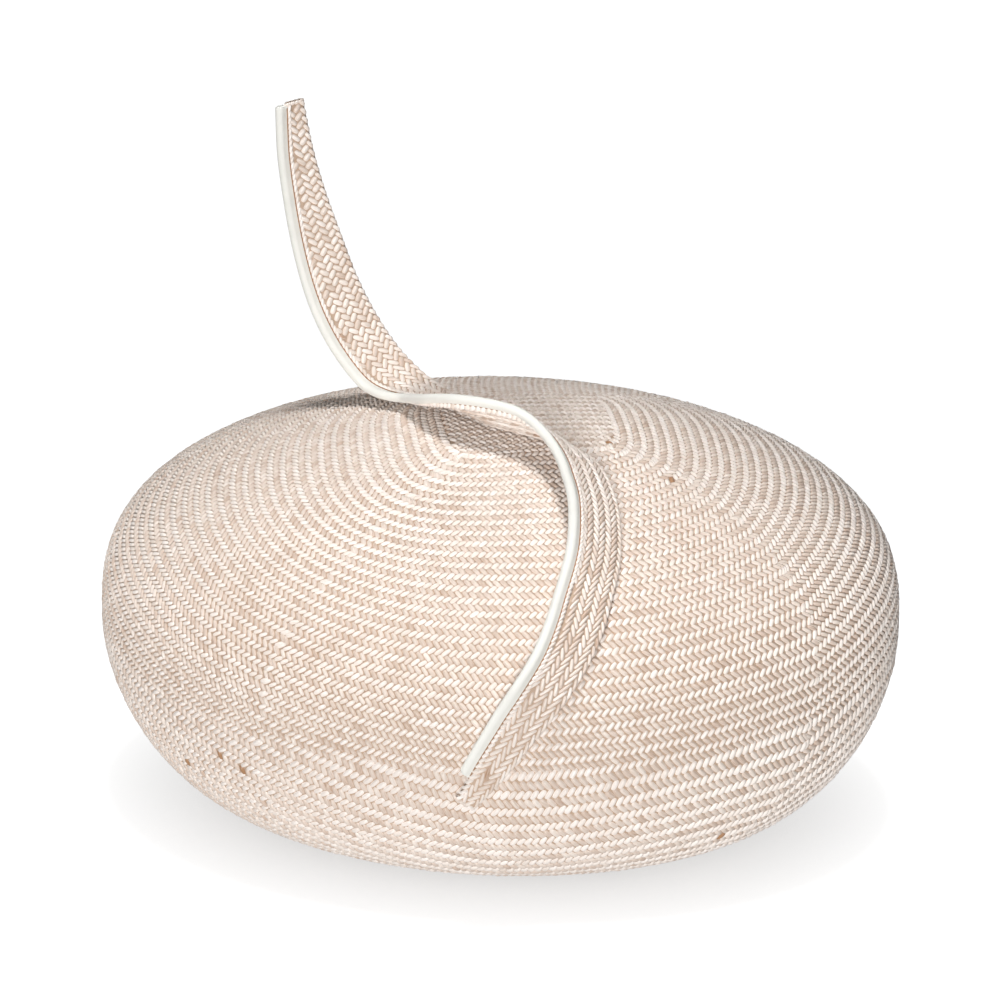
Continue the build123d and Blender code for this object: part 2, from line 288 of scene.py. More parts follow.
fineStrand = strandShape(6, 4)
coarseStrand = strandShape(2, 2)
random = np.random.default_rng(7)


def strandMesh(name, points, x, y, tones, strandFaces, body):
    # one row of points for every strand, and x and y, the same points on the strand itself in mm;
    # the shift of each strand gives it its own fibres
    count, corners = x.shape
    number = np.arange(count)[:, None]
    faces = strandFaces[None] + (number * corners)[:, :, None]
    uv = np.stack([x + number * 7.3, y + (number % 97) * 3.1], axis=-1)
    return meshPiece(name, points.reshape(-1, 3), faces.reshape(-1, 4), body,
                     uv=uv.reshape(-1, 2), tone=np.repeat(tones, corners))


def layStrands(name, centres, ways, normals, size, body, tones, shape=fineStrand):
    # copies of the strand at every place, lying along ways on the surface; size is
    # length, width and crest in mm, each one number or one for every strand
    strand, strandFaces = shape
    centres, ways, normals = (np.asarray(a) for a in (centres, ways, normals))
    sides = np.cross(normals, ways)
    sides /= np.linalg.norm(sides, axis=1)[:, None]
    count = len(centres)
    wobble = random.normal(0, 1, (count, 4))     # no two strands lie or measure quite alike
    turn = wobble[:, 0] * 0.045
    lean = ways * np.cos(turn)[:, None] + sides * np.sin(turn)[:, None]
    sides = sides * np.cos(turn)[:, None] - ways * np.sin(turn)[:, None]
    length = (size[0] / 2 * (1 + wobble[:, 1] * 0.04))[:, None, None]
    width = (size[1] / 2 * (1 + wobble[:, 2] * 0.05))[:, None, None]
    crest = (size[2] * (1 + wobble[:, 3] * 0.10))[:, None, None]
    s = strand[None, :, :]
    points = (centres[:, None, :] + lean[:, None, :] * s[..., 0:1] * length
              + sides[:, None, :] * s[..., 1:2] * width + normals[:, None, :] * s[..., 2:3] * crest)
    x, y = (s[..., 0:1] * length)[..., 0], (s[..., 1:2] * width)[..., 0]
    return strandMesh(name, points, x, y, tones, strandFaces, body)


def reachOf(flat):
    # mm of straw past the opening's edge, less than 0 inside it
    column = (np.arctan2(flat[:, 1], flat[:, 0]) % (2 * math.pi)) / (2 * math.pi) * chartColumns
    return np.hypot(flat[:, 0], flat[:, 1]) - chartReach[np.floor(column).astype(int) % chartColumns]


def rowStrands(flat, nextFlat, row, middle):
    # strand places along one row: flat is the row's line, nextFlat the line half a row further out,
    # middle the index of the point that the stitches are counted from
    curve = onDome(flat)
    walked = np.concatenate([[0], np.cumsum(np.linalg.norm(np.diff(curve, axis=0), axis=1))])
    start = walked[middle]
    first, last = math.ceil(-start / weave["stitch"]), math.floor((walked[-1] - start) / weave["stitch"])
    places = (np.arange(first, last + 1) + (0.25 if row % 2 else -0.25)) * weave["stitch"] + start
    places = places[(places > 0) & (places < walked[-1])]
    places = places[np.interp(places, walked, reachOf(flat)) < -0.3]
    if not len(places):
        return None

    def along(values, at):
        return np.stack([np.interp(at, walked, values[:, i]) for i in range(values.shape[1])], axis=-1)

    tangent = unit(along(curve, places + 0.4) - along(curve, places - 0.4))
    step = along(onDome(nextFlat) - curve, places)
    normal = unit(np.cross(step, tangent))
    outward = unit(np.cross(tangent, normal))
    outward *= np.sign(np.sum(outward * step, axis=1))[:, None]
    pitch = np.clip(np.abs(np.sum(step * outward, axis=1)) * 2, 1.1, 3.1)
    lean = 1 if row % 2 else -1
    way = unit(tangent * weave["stitch"] + lean * outward * pitch[:, None])
    # painted sheen: the sign says whether this row's strands are painted lighter or darker
    sheenSide = np.full(len(places), -lean)
    return along(curve, places), way, unit(np.cross(outward, tangent)), pitch, sheenSide


def buildWeave():
    w = weave
    sectors = {name: [] for name in ("Right", "Back", "Left", "Front", "Patch")}
    for row in range(2 * w["patch"], 2 * w["rounds"]):
        level = (row + 0.5) / 2
        frontRight = frontRightMitre(level)
        overlap = w["lap"] / (level * w["roundStep"])
        quarter = math.pi / 4
        ends = {"Right": (frontRight, quarter), "Back": (quarter, 3 * quarter),
                "Left": (3 * quarter, 5 * quarter), "Front": (5 * quarter, 2 * math.pi + frontRight)}
        for number, (name, (low, high)) in enumerate(ends.items()):
            directions = np.linspace(low - overlap, high + overlap, 241)
            middle = int(np.argmin(np.abs(directions - number * 2 * quarter)))
            strands = rowStrands(roundPlace(level, directions), roundPlace(level + 0.25, directions),
                                 row, middle)
            if strands:
                sectors[name].append(strands)
    edge = roundPlace(w["patch"], np.array([0.0, math.pi / 2]))
    middle = np.array(w["startCentre"])
    wide, deep = np.linalg.norm(edge - middle, axis=1)
    rows = 2 * w["patch"]
    across = np.linspace(-wide, wide, 61)
    for row in range(-rows, rows):
        offset = (row + 0.5) / rows * deep
        line = turnedFlat(across, np.full(61, offset), 1.0)
        nextLine = turnedFlat(across, np.full(61, offset + deep / rows / 2), 1.0)
        strands = rowStrands(line, nextLine, row + 2 * rows, 30)
        sectors["Patch"].append(strands)
    total = 0
    for name, rowsOf in sectors.items():
        centres, ways, normals, pitch, sheenSide = (np.concatenate(values) for values in zip(*rowsOf))
        out = np.sum(normals * (centres - domeMiddle), axis=1)
        normals = normals * np.sign(out)[:, None]
        total += len(centres)
        # painted sheen: one family of strands is painted paler and the other darker, so every second row
        # shows lighter as if the light caught it
        tones = np.clip(random.normal(0.5, w["toneSpread"], len(centres)) + w["paintedRowSheen"] * sheenSide, 0.1, 1)
        tones[random.random(len(centres)) < w["flecks"]] = -0.3      # a few brown flecks of stalk
        share = pitch / w["rowPitch"]
        length, width = w["length"] * (0.45 + 0.55 * share), w["width"] * (0.3 + 0.7 * share)
        inside = centres - normals * (crown["wall"] - crown["strandDepth"] + 0.1)
        half = len(centres) // 2
        for part, kept in (("Upper", slice(0, half)), ("Lower", slice(half, None))):
            size = (length[kept], width[kept], np.full(len(length[kept]), w["crest"]))
            piece = layStrands("crownStrands" + name + part, centres[kept], ways[kept], normals[kept], size,
                               "hat", tones[kept])
            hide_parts("crown_shell")
            piece.data.materials.append(strawMaterial)
        # the same strands seen from inside the crown, coarser because nothing looks at them closely
        size = (length, width, np.full(len(length), w["crest"] * 0.6))
        piece = layStrands("crownInside" + name, inside, ways, -normals, size, "hat", tones,
                           coarseStrand)
        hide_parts("crown_shell")
        piece.data.materials.append(strawMaterial)
    print("crown strands:", total)


# a straw strip folded along its back edge, with piping in its open edge
quill = {
    "half": 1.1, "gap": 0.5,       # the fold's half thickness, and its height above the crown
    "margin": 0.7, "cover": 1.6,   # flange that shows beside the piping, and the piping's radius
    "row": 2.35, "stitch": 2.7, "hem": 1.3, "endWall": 1.2, "widest": 20.0,
    "strandLean": 47.0, "leanLost": 21.0,      # degrees, and how many go where the strip was pulled down
    "lowerFrom": 75.0, "lowerOver": 60.0,      # where that begins, and the length it takes
    # fold edge from the foot, and piped edge from the fold edge, where the quill stands free
    "free": [
        ((-49.2, 10.6, 93.4), (-5.9, -4.3, -0.9)), ((-46.1, 10.0, 77.6), (-8.5, -4.5, -0.2)),
        ((-42.0, 9.6, 63.2), (-10.7, -5.0, -0.9)), ((-37.4, 9.4, 50.0), (-12.7, -5.7, -2.4)),
        ((-33.0, 9.1, 37.8), (-13.2, -7.4, -4.3)), ((-28.4, 8.7, 27.8), (-13.1, -9.0, -5.5)),
        ((-22.6, 8.0, 18.0), (-12.6, -10.1, -6.0)), ((-15.6, 6.5, 9.4), (-11.3, -10.7, -6.6)),
        ((-7.6, 3.7, 3.2), (-11.2, -12.9, -2.0))],
    # fold edge as (degrees, ring) on the dome, and piped edge from it, where the quill is sewn down
    "sewn": [
        ((117.9, 0.258), (-11.2, -13.1, 2.0)), ((119.6, 0.159), (-10.7, -12.2, 6.2)),
        ((113.3, 0.057), (-8.0, -10.5, 11.3)), ((3.5, 0.074), (-7.8, -10.0, 12.0)),
        ((-24.7, 0.170), (-11.1, -10.0, 9.2)), ((-41.6, 0.265), (-12.5, -8.6, 8.6)),
        ((-50.6, 0.353), (-12.5, -8.4, 8.8)), ((-58.2, 0.465), (-12.8, -8.9, 7.4)),
        ((-63.6, 0.571), (-14.0, -8.5, 4.5)), ((-67.2, 0.671), (-14.0, -7.6, 5.7)),
        ((-70.6, 0.765), (-13.3, -6.7, 5.9)), ((-74.4, 0.865), (-12.1, -4.4, 7.1)),
        ((-78.1, 0.945), (-9.9, -1.8, 8.1)), ((-82.6, 1.005), (-6.9, -1.1, 8.8)),
        ((-86.0, 1.146), (-6.0, -2.3, 4.9))],
}


def domeNormal(angle, ring):
    turned = domePoint(angle + 0.001, ring) - domePoint(angle - 0.001, ring)
    down = domePoint(angle, ring + 0.001) - domePoint(angle, ring - 0.001)
    return unit(np.cross(down, turned))


def refined(points):
    # one more point in each gap, on the smooth curve through all of them
    ends = np.vstack([2 * points[:1] - points[1:2], points, 2 * points[-1:] - points[-2:-1]])
    finer = np.empty((2 * len(points) - 1, 3))
    finer[::2] = points
    finer[1::2] = (ends[1:-2] + ends[2:-1]) * 9 / 16 - (ends[:-3] + ends[3:]) / 16
    return finer


def quillFrames():
    # fold edge, direction across, direction along, front normal and width, every millimetre
    seat = quill["half"] + quill["gap"]
    angles = np.radians([place[0] for place, offset in quill["sewn"]])
    rings = np.array([place[1] for place, offset in quill["sewn"]])
    sewn = domePoint(angles, rings) + domeNormal(angles, rings) * seat
    fold = np.vstack([sewn[0] + np.array([rise for rise, offset in quill["free"]]), sewn])
    edge = fold + np.array([offset for place, offset in quill["free"] + quill["sewn"]])
    for _ in range(3):
        fold, edge = refined(fold), refined(edge)
    walked = np.concatenate([[0], np.cumsum(np.linalg.norm(np.diff((fold + edge) / 2, axis=0), axis=1))])
    at = np.linspace(0, walked[-1], int(walked[-1]) + 1)
    fold, edge = (np.stack([np.interp(at, walked, c[:, i]) for i in range(3)], axis=-1) for c in (fold, edge))
    width = np.linalg.norm(edge - fold, axis=1)
    across = (edge - fold) / width[:, None]
    along = np.gradient((fold + edge) / 2, axis=0)
    along = unit(along - across * np.sum(along * across, axis=1)[:, None])
    pipingEnd = walked[-5]
    return {"at": at, "fold": fold, "across": across, "along": along,
            "front": np.cross(across, along), "width": width, "pipingEnd": pipingEnd}


strip = quillFrames()


def stripAt(name, s):
    values = strip[name]
    if values.ndim == 1:
        return np.interp(s, strip["at"], values)
    return np.stack([np.interp(s, strip["at"], values[:, i]) for i in range(3)], axis=-1)


def quillPlace(s, w, lift=0.0):
    # a place on the folded strip: s down its length, w round the fold, front positive
    s, w, lift = np.broadcast_arrays(np.asarray(s, float), np.asarray(w, float), np.asarray(lift, float))
    bend = quill["half"] * math.pi / 2
    turn = (np.clip(w / bend, -1, 1) * math.pi / 2)[..., None]
    flat = np.maximum(np.abs(w) - bend, 0)[..., None]
    across, front = stripAt("across", s), stripAt("front", s)
    out = front * np.sin(turn) - across * np.cos(turn)
    onward = front * np.cos(turn) + across * np.sin(turn)
    place = stripAt("fold", s) + across * flat + out * (quill["half"] + lift[..., None])
    return place, out, onward


def strawEdge(s):
    # how far the straw reaches from the fold, short of the piping
    return stripAt("width", s) - quill["cover"] - quill["margin"]


def buildQuillBody():
    # the strip under its strands: a folded wall, closed at the tip, open at the lower end
    bend = quill["half"] * math.pi / 2
    rings = []
    lengths = np.concatenate([[-quill["endWall"]], strip["at"], [strip["at"][-1] + quill["endWall"]]])
    shares = np.concatenate([np.linspace(-1, 0, 5)[:-1], np.zeros(7), np.linspace(0, 1, 5)[1:]])
    turns = np.concatenate([np.full(4, -1.0), np.linspace(-1, 1, 7), np.full(4, 1.0)])
    for s in lengths:
        inside = np.clip(s, 0, strip["at"][-1])
        extra = stripAt("along", inside) * (s - inside)
        w = turns * bend + shares * (strawEdge(inside) - 0.15)
        outer = quillPlace(np.full(15, inside), w, -0.3)[0] + extra
        inner = quillPlace(np.full(15, inside), w, -0.62)[0] + extra
        rings.append(np.vstack([outer, inner[::-1]]))
    columns = 30
    count = len(rings)
    faces = [tuple(face) for face in gridFaces(count, columns)]
    last = (count - 1) * columns
    for c in range(14):
        faces.append((c + 1, c, columns - 1 - c, columns - 2 - c))
        faces.append((last + c, last + c + 1, last + columns - 2 - c, last + columns - 1 - c))
    faces.append(tuple(range(15, 30)))
    body = meshPiece("quillBody", np.concatenate(rings), faces, "hat")
    body.data.materials.append(backingMaterial)
    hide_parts("quill_straw")


def buildQuillStrands():
    # herringbone rows down the strip, on both faces and round the fold, and a ridge at each hem;
    # every strand bends with the strip
    bend = quill["half"] * math.pi / 2
    total = strip["at"][-1]
    spots = []      # s, w, lean, length, width, crest, lift, tone
    rowCount = int(quill["widest"] / quill["row"])
    for row in range(-rowCount, rowCount):
        w = (row + 0.5) * quill["row"]
        places = np.arange((0.5 if row % 2 else 0) * quill["stitch"], total + 0.6, quill["stitch"])
        places = places[np.abs(w) - bend < strawEdge(places) - quill["hem"] * 0.9]
        # the strands lie flatter along the strip where it was pulled down over the crown
        lowered = np.clip((places - quill["lowerFrom"]) / quill["lowerOver"], 0, 1)
        lean = np.radians(quill["strandLean"] - quill["leanLost"] * lowered) * (1 if row % 2 else -1)
        for s, turn, low in zip(places, lean, lowered):
            # painted shade: where the strip lies down over the crown its strands are also painted a little
            # darker, as that face is turned from the light
            length, width, tone = 3.9 + 1.6 * low, 1.92 - 0.62 * low, 0.5 - 0.07 * low
            spots.append((s, w, turn, length, width, 0.62, -0.28, tone))
    # both ends are turned in: a row of strands lies across each
    for s in (-0.75, total + 0.75):
        for w in np.arange(-bend - float(strawEdge(s)) + 1, bend + float(strawEdge(s)) - 0.5, 1.5):
            spots.append((s, w, 1.35, 2.6, 1.5, 0.55, -0.25, 0.5))
    # the back hem is the fatter one: it carries the turnings of both sides
    hems = ((-1, 0.45, 1.9, 0.8, strip["pipingEnd"] - 2), (1, -0.02, 1.15, 0.5, total))
    for face, lift, width, crest, end in hems:
        for s in np.arange(0.8, end, 1.9):
            w = face * (bend + float(strawEdge(s)) - quill["hem"] * 0.5)
            spots.append((s, w, face * 0.42, 3.0, width, crest, lift, 0.75))
    spots = np.array(spots)
    spots[:, 7] = np.clip(spots[:, 7] + random.normal(0, 0.15, len(spots)), 0, 1)
    strand, strandFaces = fineStrand
    s0, w0, lean, length, width, crest, lift, tone = (spots[:, i:i + 1] for i in range(8))
    x = strand[None, :, 0] * length / 2
    y = strand[None, :, 1] * width / 2
    s = np.clip(s0 + x * np.cos(lean) - y * np.sin(lean), -quill["endWall"], total + quill["endWall"])
    w = w0 + x * np.sin(lean) + y * np.cos(lean)
    points = quillPlace(s, w, lift + strand[None, :, 2] * crest)[0]
    points = points + stripAt("along", s) * (s - np.clip(s, 0, total))[..., None]
    piece = strandMesh("quillStrands", points, x, y, tone[:, 0], strandFaces, "hat")
    piece.data.materials.append(strawMaterial)
    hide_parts("quill_straw")
    print("quill strands:", len(spots))


def buildPiping():
    # cloth cut on the bias round a cord, its flange running into the strip's open edge
    radius = quill["cover"]
    turns = np.radians(np.linspace(-132, 132, 21))
    side = [(radius * math.cos(t), radius * math.sin(t)) for t in turns]
    flange = [(-3.6, -0.26), (-2.6, -0.62), (-1.75, -1.0)]
    profile = np.array(flange + side + [(x, -y) for x, y in flange[::-1]])
    s = np.arange(0, strip["pipingEnd"], 1.0)
    rounding = [(-0.75, 0.55), (-0.6, 0.8), (-0.3, 0.95)]
    stations = [(0.0, back, scale) for back, scale in rounding] + [(v, 0.0, 1.0) for v in s]
    stations += [(s[-1], -back, scale) for back, scale in rounding[::-1]]
    rings, uv = [], []
    girth = np.concatenate([[0], np.cumsum(np.linalg.norm(np.diff(profile, axis=0), axis=1))])
    for place, past, scale in stations:
        centre = stripAt("fold", place) + stripAt("across", place) * stripAt("width", place)
        x, y = profile[:, 0:1] * scale, profile[:, 1:2] * scale
        rings.append(centre + stripAt("along", place) * past + stripAt("across", place) * x
                     + stripAt("front", place) * y)
        uv.append(np.stack([np.full(len(profile), place + past), girth], axis=-1))
    faces = closedFaces(len(rings), len(profile))
    piping = meshPiece("pipingCover", np.concatenate(rings), faces, "hat", uv=np.concatenate(uv))
    piping.data.materials.append(pipingMaterial)
    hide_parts("piping_cover")


def tubeAlong(name, path, radius, sides, body):
    # a round thread or wire along a path of points in mm
    path = np.asarray(path, float)
    tangent = unit(np.gradient(path, axis=0))
    guide = np.array([0.31, 0.17, 0.93])     # what the sides are turned from
    first = unit(np.cross(tangent, guide))
    second = np.cross(tangent, first)
    turns = np.linspace(0, 2 * math.pi, sides, endpoint=False)
    points = (path[:, None, :] + first[:, None, :] * (np.cos(turns) * radius)[None, :, None]
              + second[:, None, :] * (np.sin(turns) * radius)[None, :, None])
    return meshPiece(name, points.reshape(-1, 3), closedFaces(len(path), sides), body)


def buildGrooveShadeLines():
    # a thin brown line laid in the groove between the straw's hem and the piping: painted shade of that
    # groove
    bend = quill["half"] * math.pi / 2
    for name, face in (("grooveShadeFront", 1), ("grooveShadeBack", -1)):
        s = np.arange(0.5, strip["pipingEnd"], 1.0)
        path = quillPlace(s, face * (bend + strawEdge(s) + 0.12), -0.18)[0]
        line = tubeAlong(name, path, 0.2, 6, "hat")
        line.data.materials.append(grooveShadeMaterial)


# the petersham ribbon and the loops for an elastic
lining = {
    "halfWidth": 82.05, "halfDepth": 61.55, "thickness": 0.62, "rise": 1.0, "height": 22.0, "lap": 24.0,
    "rib": 1.2, "relief": 0.16, "picot": 0.22, "insideWidth": 81.7, "insideDepth": 61.2,
    "loopX": 80.0, "loopZ": 12.0, "loopDeep": 3.2, "loopTall": 12.0, "loopWide": 6.0, "loopWall": 0.6,
}
# the comb's threads and winding; its gaps are counted from the left, and the middle one is 7
comb = {
    "axisY": -54.76, "axisZ": 8.5, "lean": math.radians(7), "pitch": 3.6, "middleGap": 7,
    "threadGaps": (2, 6, 8, 12), "threadRing": 2.55, "thread": 0.3,
    "windingGaps": (1, 3, 4, 5, 7, 9, 10, 11, 13), "spineApart": 1.2, "spine": 0.7, "winding": 0.2,
}


def ribbonLine():
    # the ribbon's middle line from one end to the other, with the way inward
    k = lining
    turns = np.linspace(0, 4 * math.pi, 4001)
    line = np.stack([k["halfWidth"] * np.cos(turns), k["halfDepth"] * np.sin(turns)], axis=-1)
    walked = np.concatenate([[0], np.cumsum(np.linalg.norm(np.diff(line, axis=0), axis=1))])
    roundLength = walked[2000]
    start = np.interp(math.pi / 2, turns, walked) - k["lap"] / 2
    along = np.arange(0, roundLength + k["lap"], k["rib"] / 4)
    angle = np.interp(start + along, walked, turns)
    place = np.stack([k["halfWidth"] * np.cos(angle), k["halfDepth"] * np.sin(angle)], axis=-1)
    inward = -unit(np.stack([np.cos(angle) / k["halfWidth"], np.sin(angle) / k["halfDepth"]], axis=-1))
    # the last stretch rides inside the first
    step = np.clip((along - roundLength + 5) / 5, 0, 1)
    place = place + inward * (0.66 * step * step * (3 - 2 * step))[:, None]
    return along, place, inward, roundLength


def buildRibbon():
    # grosgrain with a rib every 1.2 mm and tiny picots along both edges
    k = lining
    along, place, inward, roundLength = ribbonLine()
    rib = np.abs(np.cos(math.pi * along / k["rib"]))
    half = k["thickness"] / 2 - k["relief"] / 2 * (1 - rib)
    shares = np.array([0, 0.006, 0.03, 0.25, 0.5, 0.75, 0.97, 0.994, 1])
    thin = np.array([0.35, 0.8, 1, 1, 1, 1, 1, 0.8, 0.35])
    rows, uv = [], []
    for side, order in ((1, slice(None)), (-1, slice(None, None, -1))):
        for share, full in zip(shares[order], thin[order]):
            picot = k["picot"] * (rib - 0.5) * (1 if share > 0.5 else -1) * (abs(share - 0.5) > 0.49)
            level = k["rise"] + share * k["height"] + picot
            flat = place + inward * (side * half * full)[:, None]
            rows.append(np.column_stack([flat, level * np.ones(len(along))]))
            uv.append(np.column_stack([along, np.full(len(along), share * k["height"])]))
    points = np.stack(rows, axis=1).reshape(-1, 3)
    faces = [face[::-1] for face in closedFaces(len(along), len(rows))]
    ribbon = meshPiece("petershamRibbon", points, faces, "hat",
                       uv=np.stack(uv, axis=1).reshape(-1, 2))
    ribbon.data.materials.append(ribbonMaterial)
    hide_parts("petersham_ribbon")
    # running stitches that hold it to the straw, one row low on its inner face
    spots = np.arange(2, roundLength - 2, 7.5)
    face = place + inward * 0.36
    middle = np.stack([np.interp(spots, along, face[:, i]) for i in range(2)], axis=-1)
    ahead = np.stack([np.interp(spots + 0.5, along, face[:, i]) for i in range(2)], axis=-1)
    way = unit(np.column_stack([ahead - middle, np.zeros(len(spots))]))
    normal = unit(np.cross(way, np.array([0, 0, 1.0])))
    normal *= -np.sign(np.sum(normal[:, :2] * middle, axis=1))[:, None]
    centres = np.column_stack([middle, np.full(len(spots), k["rise"] + 3.2)])
    stitches = layStrands("ribbonStitches", centres, way, normal, (2.6, 0.45, 0.26), "hat",
                          np.full(len(spots), 0.5))
    stitches.data.materials.append(sewingMaterial)


def buildElasticLoops():
    # a flat loop of knitted elastic at each side, its cords standing up along it
    k = lining
    corner = 1.3
    halfDeep, halfTall = k["loopDeep"] / 2 - k["loopWall"] / 2, k["loopTall"] / 2 - k["loopWall"] / 2
    for name, side in (("Left", -1), ("Right", 1)):
        outline, facing = [], []
        for cx, cz, start in ((1, 1, 0), (-1, 1, 90), (-1, -1, 180), (1, -1, 270)):
            for turn in np.radians(np.linspace(start, start + 90, 7)):
                facing.append((math.cos(turn), math.sin(turn)))
                outline.append((cx * (halfDeep - corner) + corner * math.cos(turn),
                                cz * (halfTall - corner) + corner * math.sin(turn)))
        outline, facing = np.array(outline), np.array(facing)
        across = np.linspace(-1, 1, 33)
        cords = 0.07 * np.cos(across * math.pi * 8)
        rings, uv = [], []
        walked = 0.0
        for step, (place, out) in enumerate(zip(outline, facing)):
            walked += np.linalg.norm(place - outline[step - 1]) if step else 0
            ring = []
            for face in (1, -1):
                for share, cord in list(zip(across, cords))[::face]:
                    thick = (k["loopWall"] / 2 - 0.07 + cord) * (0.5 if abs(share) == 1 else 1)
                    x, z = place + out * thick * face
                    ring.append((side * k["loopX"] + x, share * k["loopWide"] / 2, k["loopZ"] + z))
                    uv.append((walked, share * k["loopWide"] / 2))
            rings.append(ring)
        columns = len(rings[0])
        faces = gridFaces(len(rings) + 1, columns) % (len(rings) * columns)
        loop = meshPiece("elasticLoop" + name, np.array(rings).reshape(-1, 3), faces, "hat",
                         uv=np.array(uv))
        loop.data.materials.append(elasticMaterial)
        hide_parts("elastic_loop_" + name.lower())


def buildCombThreads():
    # three turns of thread round the comb's spine, drawn down to the ribbon; they stay on the hat
    for gap in comb["threadGaps"]:
        x = (gap - comb["middleGap"]) * comb["pitch"]
        wall = -lining["insideDepth"] * math.sqrt(1 - (x / lining["insideWidth"]) ** 2) + 0.3
        turns = []
        for number, shift in enumerate((-0.31, 0.0, 0.31)):
            ring = comb["threadRing"] - 0.02 * number
            arc = np.radians(np.linspace(205, -205, 26))
            loop = [(x + shift, comb["axisY"] + ring * math.cos(t), comb["axisZ"] + ring * math.sin(t))
                    for t in arc if abs(t) < math.radians(158)]
            start = (x + shift * 0.4, wall, comb["axisZ"] - 0.45 + 0.15 * number)
            end = (x + shift * 0.4, wall, comb["axisZ"] + 0.45 - 0.15 * number)
            path = [start] + loop[::-1] + [end]
            turns.append(tubeAlong(f"combThread{gap}_{number}", path, comb["thread"], 8, "hat"))
        joinPieces(turns, f"combThread{gap}", threadMaterial, "comb_thread_loops")


def buildCombWinding():
    # fine wire wound twice round both spine wires, between the hairpins
    c = comb
    away = np.array([0, math.cos(c["lean"]), math.sin(c["lean"])])
    up = np.array([0, -math.sin(c["lean"]), math.cos(c["lean"])])
    radius = c["spine"] + c["winding"] + 0.04
    windings = []
    for gap in c["windingGaps"]:
        path = []
        for t in np.linspace(0, 4.2 * math.pi, 85):
            x = (gap - c["middleGap"]) * c["pitch"] - 0.28 + 0.56 * t / (4.2 * math.pi)
            out = math.cos(t)
            place = (away * (np.sign(out) * min(abs(out) * 3, 1) * c["spineApart"] + radius * out)
                     + up * radius * math.sin(t))
            path.append((x, c["axisY"] + place[1], c["axisZ"] + place[2]))
        windings.append(tubeAlong(f"winding{gap}", path, c["winding"], 6, "comb"))
    joinPieces(windings, "combWinding", steelMaterial, "comb_binding")


def joinPieces(pieces, name, material, node):
    deselectAll()
    for piece in pieces:
        piece.select_set(True)
    bpy.context.view_layer.objects.active = pieces[0]
    bpy.ops.object.join()
    joined = bpy.context.object
    joined.name = name
    joined.data.materials.append(material)
    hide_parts(node)


def finishCadNodes():
    # the drawn shapes are right as they are: wires and the cord inside the piping get their finish
    for names, material in ((("edge_wire", "wire_joiner", "quill_wire"), wireMaterial),
                            (("comb_hairpins", "comb_spine"), steelMaterial),
                            (("piping_cord",), cordMaterial)):
        for name in names:
            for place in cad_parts[name].material_slots:
                place.material = material


strawColours = {
    "light": "#F7EFE9", "middle": "#E8DCD2", "deep": "#C9B2A1", "fleck": "#A67E5C", "shade": "#A4896F",
}
bandsPerUnit = 3.18      # stripes that a wave texture of scale 1 lays in a unit of its place


def addNoise(tree, place, scale, detail):
    return addNode(tree, "ShaderNodeTexNoise", None, {"Vector": place, "Scale": scale, "Detail": detail})


def addGrain(tree, scale, detail):
    place = addNode(tree, "ShaderNodeTexCoord")
    return addNoise(tree, place.outputs["Object"], scale, detail)


def addBands(tree, place, axis, apart, distortion):
    # threads across the axis, this many mm apart
    return addNode(tree, "ShaderNodeTexWave", {"wave_type": "BANDS", "bands_direction": axis},
                   {"Vector": place, "Scale": 1 / apart / bandsPerUnit, "Distortion": distortion})


def addMath(tree, operation, *values):
    return addNode(tree, "ShaderNodeMath", {"operation": operation}, dict(enumerate(values)))


def addRamp(tree, share, low, high):
    ramp = addNode(tree, "ShaderNodeValToRGB", None, {"Fac": share})
    ramp.color_ramp.elements[0].color = toLinear(low)
    ramp.color_ramp.elements[1].color = toLinear(high)
    return ramp


def addBump(tree, height, strength, depth):
    return addNode(tree, "ShaderNodeBump", None, {"Height": height, "Strength": strength, "Distance": depth})


def addSurface(tree, inputs):
    # the shader that every material ends in, given its sockets
    shader = addNode(tree, "ShaderNodeBsdfPrincipled", None, inputs)
    addNode(tree, "ShaderNodeOutputMaterial", None, {"Surface": shader.outputs["BSDF"]})


def makeStraw():
    # parisisal straw: split sisal fibre, silky along each strand, never two strands of one colour
    material, tree = newMaterial("parisisalStraw")
    tone = addNode(tree, "ShaderNodeAttribute", {"attribute_name": "strawToneAndShading"})
    uv = addNode(tree, "ShaderNodeUVMap", {"uv_map": "weaveUV"})
    stretch = addNode(tree, "ShaderNodeMapping", None,
                      {"Vector": uv.outputs["UV"], "Scale": (0.3, 5.0, 1.0)})   # fibres 0.2 mm wide
    fibre = addNoise(tree, stretch.outputs["Vector"], 1.0, 2.0)
    # the colour is the strand's own tone with the painted sheen and shade of its row, and its fibres for the
    # rest
    toned = addMath(tree, "MULTIPLY", tone.outputs["Fac"], 0.62)
    mixed = addMath(tree, "MULTIPLY_ADD", fibre.outputs["Fac"], 0.38, toned.outputs["Value"])
    ramp = addRamp(tree, mixed.outputs["Value"], strawColours["fleck"], strawColours["light"])
    stops = ramp.color_ramp.elements
    stops[0].position, stops[1].position = 0.14, 0.74
    for position, colour in ((0.22, "deep"), (0.48, "middle")):
        stops.new(position).color = toLinear(strawColours[colour])
    bump = addBump(tree, fibre.outputs["Fac"], 0.35, 0.0001)
    grain = addNode(tree, "ShaderNodeTangent", {"direction_type": "UV_MAP", "uv_map": "weaveUV"})
    addSurface(tree, {"Base Color": ramp.outputs["Color"], "Roughness": 0.42, "IOR": 1.5,
                      "Anisotropic": 0.55, "Anisotropic Rotation": 0.25, "Tangent": grain.outputs["Tangent"],
                      "Sheen Weight": 0.1, "Sheen Roughness": 0.4, "Normal": bump.outputs["Normal"]})
    return material


def makeBacking():
    # the strands that lie under the floats: the same straw, painted darker for the shade in the gaps between
    # the floats
    material, tree = newMaterial("strawUnderlay")
    grain = addGrain(tree, 700.0, 2.0)
    ramp = addRamp(tree, grain.outputs["Fac"], strawColours["shade"], strawColours["deep"])
    bump = addBump(tree, grain.outputs["Fac"], 0.5, 0.0003)
    addSurface(tree, {"Base Color": ramp.outputs["Color"], "Roughness": 0.7,
                      "Normal": bump.outputs["Normal"]})
    return material


